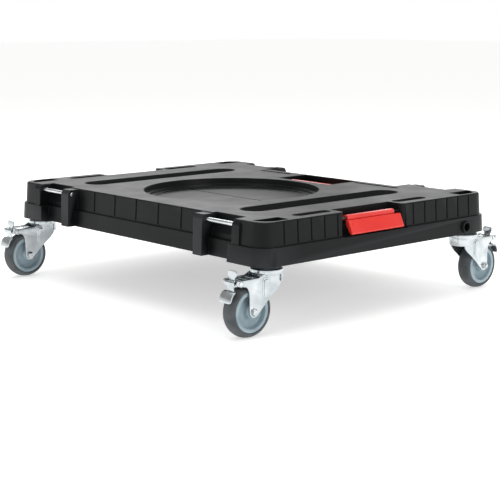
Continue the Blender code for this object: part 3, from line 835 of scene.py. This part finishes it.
@dataclass
class Caster:
    """A total-lock swivel caster, drawn once and placed at the four corners."""

    swivel_x: float = 213.5
    swivel_y: float = 284.5
    trail: float = 36.5
    wheel_r: float = 37.5
    tread: float = 24.0
    rim_r: float = 29.8
    bore_r: float = 4.7
    sleeve_r: float = 4.4
    axle_r: float = 3.0
    fork_inside: float = 13.2
    steel: float = 2.4
    crown_r: float = 23.4
    crown_low: float = 87.0
    crown_top: float = 93.2
    race_top: float = 97.7
    kingpin_r: float = 4.0
    pocket_floor: float = 117.0
    brake_u: float = 60.0
    brake_z: float = 80.0
    shoe_u: float = 30.5
    shoe_z: float = 80.3
    shoe_half: float = 9.0
    nose_low: float = 74.5
    web_low: float = 82.2
    kingpin_low: float = 73.0
    meshes: dict[str, bpy.types.Mesh] = field(default_factory=dict)

    def build(self, shop: Workshop) -> None:
        """Draws each mesh once, then places it at every corner.

        Args:
            shop: Where pieces are placed.
        """
        on_swivel = ("fork", "axle_bolt", "axle_nut", "axle_sleeve", "brake_pin")
        finishes = {
            "raceway": PHOSPHATED_STEEL,
            "kingpin": ZINC_PLATE,
            "kingpin_nut": ZINC_PLATE,
            "fork": ZINC_PLATE,
            "axle_bolt": ZINC_PLATE,
            "axle_nut": ZINC_PLATE,
            "axle_sleeve": DRAWN_BAR,
            "wheel_centre": BLUE_GREY_POLYPROPYLENE,
            "tyre": GREY_RUBBER,
            "brake_lever": ZINC_PLATE,
            "brake_pin": DRAWN_BAR,
            "brake_shoe": ZINC_PLATE,
        }
        self.draw()
        for side in Side:
            for end in End:
                tag = f"{end.name.lower()}_{side.name.lower()}"
                centre = (side.value * self.swivel_x * MM, end.value * self.swivel_y * MM, 0.0)
                turn = Matrix.Rotation(0.0 if side is Side.RIGHT else math.pi, 4, "Z")
                matrix = Matrix.Translation(centre) @ turn
                for node, finish in finishes.items():
                    body = "platform"
                    if node in on_swivel:
                        body = f"{tag}_fork_body"
                    elif node in ("wheel_centre", "tyre"):
                        body = f"{tag}_wheel"
                    elif node == "brake_lever":
                        body = f"{tag}_lever"
                    elif node == "brake_shoe":
                        body = f"{tag}_shoe"
                    name = f"{tag}_{node}"
                    shop.piece(self.meshes[node], name + "_piece", finish, body, [name], matrix)

    def draw(self) -> None:
        """Draws the mesh of each piece in the caster's frame."""
        makers = {
            "raceway": self.raceway,
            "kingpin": self.kingpin,
            "kingpin_nut": self.kingpin_nut,
            "fork": self.fork,
            "axle_bolt": self.axle_bolt,
            "axle_nut": self.axle_nut,
            "axle_sleeve": self.axle_sleeve,
            "wheel_centre": self.wheel_centre,
            "tyre": self.tyre,
            "brake_lever": self.brake_lever,
            "brake_pin": self.brake_pin,
            "brake_shoe": self.brake_shoe,
        }
        for name, make in makers.items():
            self.meshes[name] = mesh_of(make(), name)

    def at_axle(self, bm: bmesh.types.BMesh) -> bmesh.types.BMesh:
        """Lays a mesh made about z along the axle and moves it there.

        Args:
            bm: The mesh.

        Returns:
            The same mesh.
        """
        lay_along_y(bm)
        bmesh.ops.translate(bm, verts=bm.verts, vec=(self.trail, 0.0, self.wheel_r))
        return bm

    def raceway(self) -> bmesh.types.BMesh:
        """Upper race: a rolled ring with a groove round its middle.

        Returns:
            The mesh.
        """
        inner, low, top = self.kingpin_r + 0.4, self.crown_top + 0.4, self.race_top
        outer = [(20.4, low), (21.2, low + 0.4), (21.4, low + 1.0), (20.9, low + 1.4), (20.9, low + 1.8)]
        outer += [(21.5, low + 2.2), (21.5, top - 0.5), (21.0, top)]
        return turned([(inner, low), *outer, (inner, top)], 64)

    def kingpin(self) -> bmesh.types.BMesh:
        """Kingpin bolt: a shank with a flanged hexagon head in the corner pocket.

        Returns:
            The mesh.
        """
        low, floor, radius = self.kingpin_low, self.pocket_floor, self.kingpin_r
        shank = [(0.0, low), (radius - 0.8, low), (radius, low + 1.0)]
        shank += [(radius, floor + 1.0), (0.0, floor + 1.0)]
        bm = turned(shank, 28, closed=False)
        under, over = floor + 0.3, floor + 1.5
        flange = [(0.0, under), (7.3, under), (7.3, floor + 1.0), (6.6, over), (0.0, over)]
        join(bm, turned(flange, 40, closed=False))
        head = bmesh.new()
        prism(head, hexagon(11.4), floor + 1.2, floor + 5.5, Axis.Z)
        soften(head, 0.5, 2)
        join(bm, head)
        return bm

    def kingpin_nut(self) -> bmesh.types.BMesh:
        """Kingpin nut under the crown.

        Returns:
            The mesh.
        """
        bm = bmesh.new()
        prism(bm, hexagon(13.0), self.crown_low - 7.2, self.crown_low - 0.5, Axis.Z)
        soften(bm, 0.6, 2)
        return bm

    def leg_outline(self) -> list[Point2]:
        """A leg of the fork in (u, z), with its corners rounded.

        Returns:
            The outline's points.
        """
        eye = arc((self.trail - 0.6, 38.0), 8.4, 212, 352, 18)
        front = (
            (-13.6, 90.5, 0.0),
            (-14.0, 77.5, 4.0),
            (-12.0, 70.5, 6.0),
            (-5.5, 63.2, 8.0),
            (4.0, 56.0, 6.0),
            (15.5, 46.0, 8.0),
        )
        rear = (
            (44.3, 58.0, 8.0),
            (45.2, 66.5, 5.0),
            (49.0, 73.8, 7.0),
            (65.3, 76.8, 1.6),
            (67.0, 78.6, 1.2),
            (67.0, 83.0, 1.4),
            (65.3, 84.2, 1.2),
            (28.0, 84.2, 6.0),
            (14.0, 90.5, 0.0),
        )
        eye_points = [(u, z, 0.0) for u, z in eye]
        return rounded((*front, *eye_points, *rear), 6)

    def fork(self) -> bmesh.types.BMesh:
        """Pressed fork: domed crown, curved nose, two legs with an embossed rib, and rear arms.

        Returns:
            The mesh.
        """
        crown = turned(
            [
                (self.kingpin_r + 0.4, self.crown_low + 0.4),
                (19.0, self.crown_low),
                (21.6, self.crown_low - 1.6),
                (23.2, self.crown_low + 0.4),
                (23.4, self.crown_low + 1.8),
                (22.9, self.crown_top - 0.9),
                (21.6, self.crown_top - 0.1),
                (20.4, self.crown_top),
                (19.6, self.crown_top - 0.5),
                (self.kingpin_r + 0.4, self.crown_top - 0.5),
            ],
            72,
        )
        for side in (-1, 1):
            low, high = sorted((side * self.fork_inside, side * (self.fork_inside + self.steel)))
            leg = bmesh.new()
            prism(leg, self.leg_outline(), low, high, Axis.V)
            soften(leg, 0.7, 3)
            join(crown, leg)
            join(crown, self.leg_rib(side))
            join(crown, self.leg_washer(side))
        nose = bmesh.new()
        outer = arc((0.0, 0.0), self.crown_r - 0.6, 126, 234, 28)
        inner = arc((0.0, 0.0), self.crown_r - 0.6 - self.steel, 234, 126, 28)
        prism(nose, outer + inner, self.nose_low, self.crown_low + 2.0, Axis.Z)
        soften(nose, 0.7, 3, 50.0)
        join(crown, nose)
        join(crown, self.web())
        return crown

    def web(self) -> bmesh.types.BMesh:
        """The plate between the rear arms, with two raised pads across it.

        Returns:
            The mesh.
        """
        bm = bmesh.new()
        reach = self.fork_inside + 0.6
        plate = rounded(((16.0, -reach, 0.0), (54.0, -reach, 0.0), (54.0, reach, 0.0), (16.0, reach, 0.0)))
        prism(bm, plate, self.web_low, self.web_low + 1.2, Axis.Z)
        for u in (27.0, 40.0):
            pad = rounded(((u, -7.5, 2.0), (u + 7.0, -7.5, 2.0), (u + 7.0, 7.5, 2.0), (u, 7.5, 2.0)), 4)
            prism(bm, pad, self.web_low + 0.8, self.web_low + 1.8, Axis.Z)
        soften(bm, 0.4, 2, 50.0)
        return bm

    def leg_rib(self, side: int) -> bmesh.types.BMesh:
        """The rib pressed out of a leg in two steps, which stiffens it under the crown.

        Args:
            side: Which leg, by the sign of v.

        Returns:
            The rib.
        """
        face = self.fork_inside + self.steel
        bm = bmesh.new()
        shape = (
            (8.2, 83.6, 6.0),
            (8.2, 57.0, 5.0),
            (14.5, 50.5, 5.0),
            (21.2, 57.0, 5.0),
            (21.2, 83.6, 6.0),
        )
        low, high = sorted((side * (face - 0.8), side * (face + 0.7)))
        prism(bm, rounded(shape, 6), low, high, Axis.V)
        inner = (
            (10.4, 81.2, 4.2),
            (10.4, 57.8, 4.0),
            (14.6, 53.2, 4.0),
            (19.0, 57.8, 4.0),
            (19.0, 81.2, 4.2),
        )
        low, high = sorted((side * (face - 0.8), side * (face + 2.0)))
        prism(bm, rounded(inner, 6), low, high, Axis.V)
        soften(bm, 0.6, 3, 50.0)
        return bm

    def leg_washer(self, side: int) -> bmesh.types.BMesh:
        """The raised ring pressed round the axle hole of a leg.

        Args:
            side: Which leg, by the sign of v.

        Returns:
            The ring, in place on the axle.
        """
        face = self.fork_inside + self.steel
        hole = self.axle_r + 0.3
        bm = turned([(hole, face - 0.5), (6.8, face - 0.5), (6.6, face + 0.2), (hole, face + 0.24)], 36)
        if side < 0:
            bmesh.ops.scale(bm, vec=(1, 1, -1), verts=bm.verts)
            bmesh.ops.reverse_faces(bm, faces=bm.faces)
        return self.at_axle(bm)

    def axle_bolt(self) -> bmesh.types.BMesh:
        """Axle bolt along the axle, with a hexagon head on one leg.

        Returns:
            The mesh.
        """
        out = self.fork_inside + self.steel
        radius, tip = self.axle_r, -out - 5.9
        shank = [(0.0, tip), (radius - 0.6, tip), (radius, tip + 0.7), (radius, out + 1.0), (0.0, out + 1.0)]
        bm = turned(shank, 28, closed=False)
        washer = [(0.0, out + 0.3), (5.2, out + 0.3), (5.2, out + 0.8), (0.0, out + 0.8)]
        join(bm, turned(washer, 36, closed=False))
        head = bmesh.new()
        prism(head, hexagon(9.8, 15.0), out + 0.7, out + 4.2, Axis.Z)
        soften(head, 0.6, 2)
        join(bm, head)
        return self.at_axle(bm)

    def axle_nut(self) -> bmesh.types.BMesh:
        """Locking nut on the other leg: a hexagon with a rounded collar.

        Returns:
            The mesh.
        """
        out = self.fork_inside + self.steel
        bm = bmesh.new()
        prism(bm, hexagon(9.8, 9.0), -out - 3.4, -out - 0.4, Axis.Z)
        soften(bm, 0.4, 2)
        root, tip = -out - 3.2, -out - 4.7
        join(bm, turned([(3.2, root), (4.4, root), (4.3, root - 1.0), (3.8, tip), (3.2, tip)], 36))
        return self.at_axle(bm)

    def axle_sleeve(self) -> bmesh.types.BMesh:
        """Plain sleeve that the wheel turns on.

        Returns:
            The mesh.
        """
        reach = self.fork_inside - 0.3
        inner, outer = self.axle_r + 0.3, self.sleeve_r
        profile = [(inner, -reach), (4.1, -reach), (outer, -reach + 0.4), (outer, reach - 0.4)]
        return self.at_axle(turned([*profile, (4.1, reach), (inner, reach)], 36))

    def wheel_centre(self) -> bmesh.types.BMesh:
        """Wheel centre, alike on both faces: hub, coved web with shallow rings, and a deep rounded rim.

        Returns:
            The mesh.
        """
        half = self.tread / 2
        hub = [(self.bore_r, half + 0.5), (8.9, half + 0.5), *arc((8.9, half - 0.3), 0.8, 90, 0, 3)]
        cove = [(10.1, half - 3.0), *arc((13.1, 7.4), 2.9, 190, 262, 5)]
        web = [(15.5, 4.1), (16.1, 4.6), (18.6, 4.5), (19.2, 4.0), (20.2, 3.9)]
        wall = [*arc((20.6, 6.6), 2.6, 275, 350, 5), (24.1, half - 1.3)]
        wall += arc((25.1, half - 1.4), 0.8, 180, 90, 3)
        rim = [(28.7, half - 0.5), (29.4, half - 0.8), (self.rim_r, half - 1.4)]
        upper = hub + cove + web + wall + rim
        lower = [(r, -v) for r, v in reversed(upper)]
        return self.at_axle(turned(upper + lower, 96))

    def tyre(self) -> bmesh.types.BMesh:
        """Tyre with round shoulders, a moulding line round its middle and a fine groove beside the rim.

        Returns:
            The mesh.
        """
        half, inner, radius = self.tread / 2, self.rim_r + 0.15, self.wheel_r
        side = [(inner, half - 1.4), (inner + 0.5, half - 0.4), (31.4, half), (32.2, half - 0.05)]
        side += [(33.3, half - 0.7), (34.3, half - 1.7), (35.2, half - 3.0)]
        side += [(36.0, half - 4.6), (36.6, half - 6.4)]
        crown = [(37.1, 3.6), (37.38, 1.8), (radius, 0.4)]
        upper = side + crown
        lower = [(r, -v) for r, v in reversed(upper)]
        return self.at_axle(turned(upper + lower, 120))

    def brake_lever(self) -> bmesh.types.BMesh:
        """Brake lever: a round-headed release tab, a saddle on the pin, and a rolled pedal on a neck.

        Returns:
            The mesh.
        """
        bm = bmesh.new()
        # release tab: a paddle with a round head and a narrower neck
        half_shape = ((5.6, -2.0, 0.0), (5.6, 6.0, 2.0), (8.8, 9.6, 2.4), (8.8, 16.8, 4.6))
        shape = half_shape + tuple((-v, z, r) for v, z, r in reversed(half_shape))
        prism(bm, rounded(shape, 8), 1.2, 3.3, Axis.U)
        soften(bm, 0.5, 3, 50.0)
        # saddle: two cheeks on the pin, joined by a bent plate
        for side in (-1, 1):
            cheek = bmesh.new()
            low, high = sorted((side * 8.3, side * 10.4))
            outline = [*arc((0.0, 0.0), 3.9, 100, 260, 10), (5.0, -4.4), (8.6, -2.0), (9.0, 2.6), (7.6, 3.9)]
            prism(cheek, outline, low, high, Axis.V)
            soften(cheek, 0.4, 2, 50.0)
            join(bm, cheek)
        plate = bmesh.new()
        bent = rounded(
            (
                (0.8, 1.4, 0.6),
                (0.8, 3.6, 0.8),
                (7.9, 3.6, 2.0),
                (9.3, 1.4, 1.6),
                (8.2, -3.4, 0.6),
                (6.4, -3.2, 0.6),
                (7.0, 1.2, 1.0),
            )
        )
        prism(plate, bent, -10.4, 10.4, Axis.V)
        soften(plate, 0.4, 2, 50.0)
        join(bm, plate)
        neck = [(7.2, -2.6), (6.9, -5.6), (6.4, -8.6), (6.3, -11.4)]
        join(bm, self.bent_plate(neck, [6.6, 6.2, 6.2, 7.0], 1.9))
        # press pedal: rolled over at the top, with round corners
        spine = [(4.8, -11.0), (6.6, -10.8), (8.6, -11.3), (10.6, -12.6), (12.4, -14.5), (13.9, -16.8)]
        spine += [(15.1, -19.4), (16.0, -22.2), (16.5, -24.2), (16.75, -25.4), (16.85, -26.2)]
        widths = [10.4, 11.4, 11.9, 12.1, 12.2, 12.2, 12.2, 12.1, 11.7, 10.8, 9.0]
        join(bm, self.bent_plate(spine, widths, 2.0))
        bmesh.ops.translate(bm, verts=bm.verts, vec=(self.brake_u, 0.0, self.brake_z))
        return bm

    def bent_plate(self, spine: Sequence[Point2], widths: Sequence[float], steel: float) -> bmesh.types.BMesh:
        """A plate bent along a line, with a width of its own at each point.

        Args:
            spine: Points of its outer face in (u, z), from top to bottom.
            widths: Half of its width at each point.
            steel: Its thickness.

        Returns:
            The plate.
        """
        bm = bmesh.new()
        rings = []
        for i, (here, half) in enumerate(zip(spine, widths)):
            ahead = Vector(spine[min(i + 1, len(spine) - 1)]) - Vector(spine[max(i - 1, 0)])
            inward = Vector((ahead.y, -ahead.x)).normalized()
            back = Vector(here) + inward * steel
            corners = [(here[0], -half, here[1]), (here[0], half, here[1])]
            corners += [(back.x, half, back.y), (back.x, -half, back.y)]
            rings.append([bm.verts.new(corner) for corner in corners])
        bm.faces.new(rings[0])
        bm.faces.new(list(reversed(rings[-1])))
        for upper, lower in zip(rings, rings[1:]):
            for k in range(4):
                bm.faces.new((upper[k - 1], upper[k], lower[k], lower[k - 1]))
        soften(bm, 0.6, 3, 50.0)
        return bm

    def brake_pin(self) -> bmesh.types.BMesh:
        """Rivet that the lever turns on, with a low round head on each arm.

        Returns:
            The mesh.
        """
        out = self.fork_inside + self.steel
        right = [(2.0, out + 0.1), (3.4, out + 0.1), (3.3, out + 0.8), (2.4, out + 1.5), (0.0, out + 1.6)]
        left = [(r, -v) for r, v in reversed(right)]
        bm = turned(left + right, 28, closed=False)
        lay_along_y(bm)
        bmesh.ops.translate(bm, verts=bm.verts, vec=(self.brake_u, 0.0, self.brake_z))
        return bm

    def brake_shoe(self) -> bmesh.types.BMesh:
        """Curved spring-steel plate over the tyre.

        Returns:
            The mesh.
        """
        outline = rounded(
            (
                (-1.6, 1.2, 0.8),
                (7.5, 0.4, 3.0),
                (16.5, -1.8, 3.0),
                (25.0, -5.9, 0.5),
                (24.1, -7.8, 0.5),
                (15.5, -4.0, 3.0),
                (7.5, -1.9, 3.0),
                (-1.6, -1.2, 0.8),
            )
        )
        bm = bmesh.new()
        prism(bm, outline, -self.shoe_half, self.shoe_half, Axis.V)
        soften(bm, 0.5, 2, 50.0)
        bmesh.ops.translate(bm, verts=bm.verts, vec=(self.shoe_u, 0.0, self.shoe_z))
        return bm


# ------------------------------------------------------------------------------------------------ studio


@dataclass
class Studio:
    """A plain pale floor, soft light and the camera."""

    camera_at: tuple[float, float, float] = (-1.3552, -1.5325, 0.4280)
    camera_yaw: float = 41.68
    camera_pitch: float = -10.41
    lens: float = 90.0
    floor_size: float = 40.0
    table_glow: float = 0.5
    world_light: float = 1.0

    def build(self) -> None:
        """Builds the floor, the lights and the camera."""
        self.floor()
        self.world()
        self.lamp("overhead", (0.1, 0.2, 2.6), (0.0, 0.0, 0.1), 2.4, 26.0)
        self.lamp("back_window", (1.2, 2.0, 1.5), (0.0, 0.0, 0.1), 1.2, 16.0)
        self.lamp("right_window", (2.3, 1.2, 1.3), (0.2, 0.0, 0.1), 1.2, 8.0)
        self.lamp("left_window", (-2.6, -0.4, 1.3), (0.0, 0.0, 0.1), 1.2, 8.0)
        self.lamp("front_window", (0.4, -2.7, 1.1), (0.0, 0.0, 0.1), 1.2, 17.0)
        self.camera()

    def floor(self) -> None:
        """Lays the floor."""
        bm = bmesh.new()
        bmesh.ops.create_grid(bm, x_segments=1, y_segments=1, size=self.floor_size / 2)
        mesh = bpy.data.meshes.new("studio_floor")
        bm.to_mesh(mesh)
        bm.free()
        obj = bpy.data.objects.new("studio_floor", mesh)
        bpy.context.scene.collection.objects.link(obj)
        paper = bpy.data.materials.new("matt_white_paper")
        paper.use_nodes = True
        shader = paper.node_tree.nodes["Principled BSDF"]
        shader.inputs["Base Color"].default_value = hex_colour("f2f2f1")
        shader.inputs["Roughness"].default_value = 0.9
        shader.inputs["Specular IOR Level"].default_value = 0.1
        shader.inputs["Emission Color"].default_value = hex_colour("ffffff")
        shader.inputs["Emission Strength"].default_value = self.table_glow
        obj.data.materials.append(paper)

    def world(self) -> None:
        """Lights the scene from all round, most from near the horizon and some from overhead."""
        world = bpy.data.worlds.new("soft_studio")
        bpy.context.scene.world = world
        world.use_nodes = True
        tree = world.node_tree
        background = tree.nodes["Background"]
        way = add_node(tree, "ShaderNodeTexCoord").outputs["Generated"]
        split = add_node(tree, "ShaderNodeSeparateXYZ", links={"Vector": way})
        levels = ((0.0, 1.0), (0.13, 1.0), (0.24, 0.35), (0.5, 0.35), (1.0, 0.7))
        sky = ramp(tree, split.outputs["Z"], [(height, grey(level)) for height, level in levels])
        tree.links.new(sky, background.inputs["Color"])
        background.inputs["Strength"].default_value = self.world_light

    def lamp(
        self,
        name: str,
        at: tuple[float, float, float],
        aim: tuple[float, float, float],
        size: float,
        power: float,
    ) -> None:
        """Adds a square soft light.

        Args:
            name: Its name.
            at: Where it is, in metres.
            aim: What it points at.
            size: Its side.
            power: Its power in watts.
        """
        light = bpy.data.lights.new(name, "AREA")
        light.size = size
        light.energy = power
        obj = bpy.data.objects.new(name, light)
        bpy.context.scene.collection.objects.link(obj)
        obj.location = at
        obj.rotation_euler = (Vector(aim) - Vector(at)).to_track_quat("-Z", "Y").to_euler()

    def camera(self) -> None:
        """Adds the camera and makes it the scene's."""
        data = bpy.data.cameras.new("camera")
        data.lens = self.lens
        data.sensor_width = 36.0
        data.clip_start = 0.05
        data.clip_end = 100.0
        obj = bpy.data.objects.new("camera", data)
        bpy.context.scene.collection.objects.link(obj)
        obj.location = self.camera_at
        pitch, yaw = math.radians(90.0 + self.camera_pitch), math.radians(-self.camera_yaw)
        obj.rotation_euler = (pitch, 0.0, yaw)
        bpy.context.scene.camera = obj


def clear_startup() -> None:
    """Removes the objects of Blender's startup scene."""
    for name in ("Cube", "Light", "Camera"):
        found = bpy.data.objects.get(name)
        if found:
            bpy.data.objects.remove(found, do_unlink=True)


def main() -> None:
    """Builds the scene round the frame."""
    logging.basicConfig(level=logging.INFO, format="%(name)s %(message)s")
    clear_startup()
    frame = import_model()
    bpy.context.scene.view_settings.view_transform = "Standard"
    shop = Workshop(Paints(FINISHES))
    Platform().build(shop, frame["nodes"])
    Latch("front_latch", "front_latch_pin", "front_latch_body", (-18.0, -296.0, 148.0), 0.0).build(shop)
    quarter = math.pi / 2
    Latch("side_latch", "side_latch_pin", "side_latch_body", (137.0, -15.0, 151.8), quarter).build(shop)
    Caster().build(shop)
    Studio().build()


if __name__ == "__main__":
    main()
